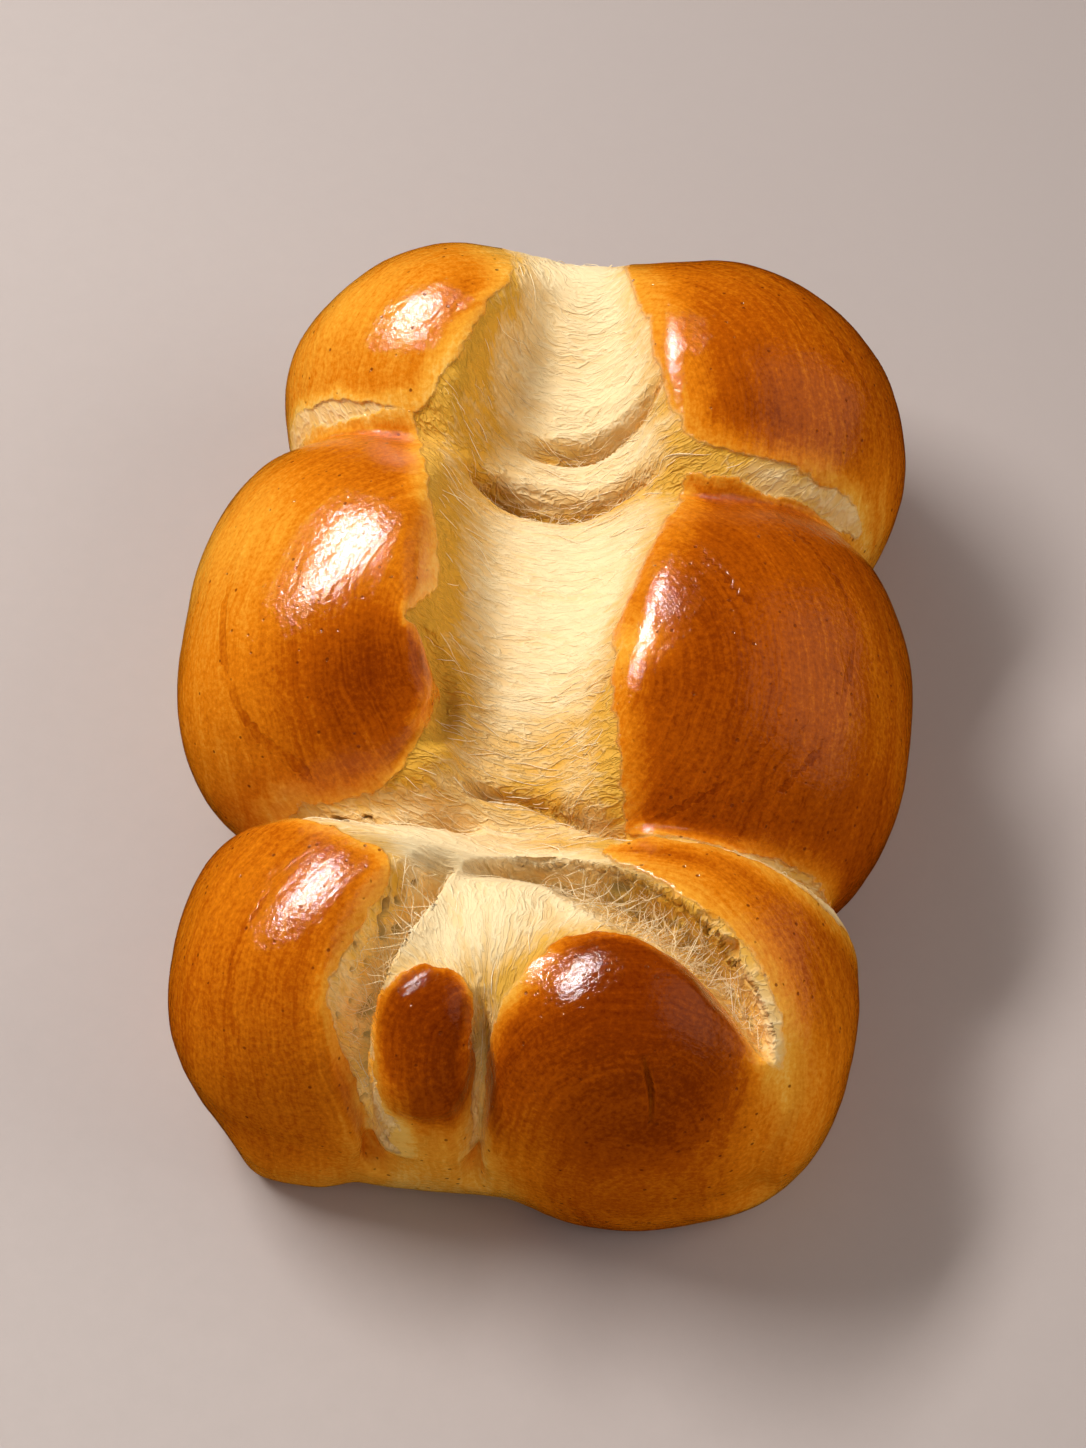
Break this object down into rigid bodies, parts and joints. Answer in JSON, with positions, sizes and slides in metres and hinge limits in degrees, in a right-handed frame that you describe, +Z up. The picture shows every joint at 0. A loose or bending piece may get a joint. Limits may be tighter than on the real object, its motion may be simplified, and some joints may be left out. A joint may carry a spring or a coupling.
{
  "type": "loaf of bread",
  "caption": "Soft pull-apart milk loaf of joined domed rolls with a browned crust, torn open along the middle, on a flat base.",
  "frame": {"origin": "centre of the loaf's bounding box, on the surface that it rests on", "axes": "+Y along the loaf, away from the front roll, +Z up, +X to the loaf's right seen from the front roll"},
  "size_m": [0.1665, 0.2316, 0.083],
  "materials": {
    "loaf": null
  },
  "bodies": {
    "root": {"loaf": "loaf"}
  },
  "joints": []
}
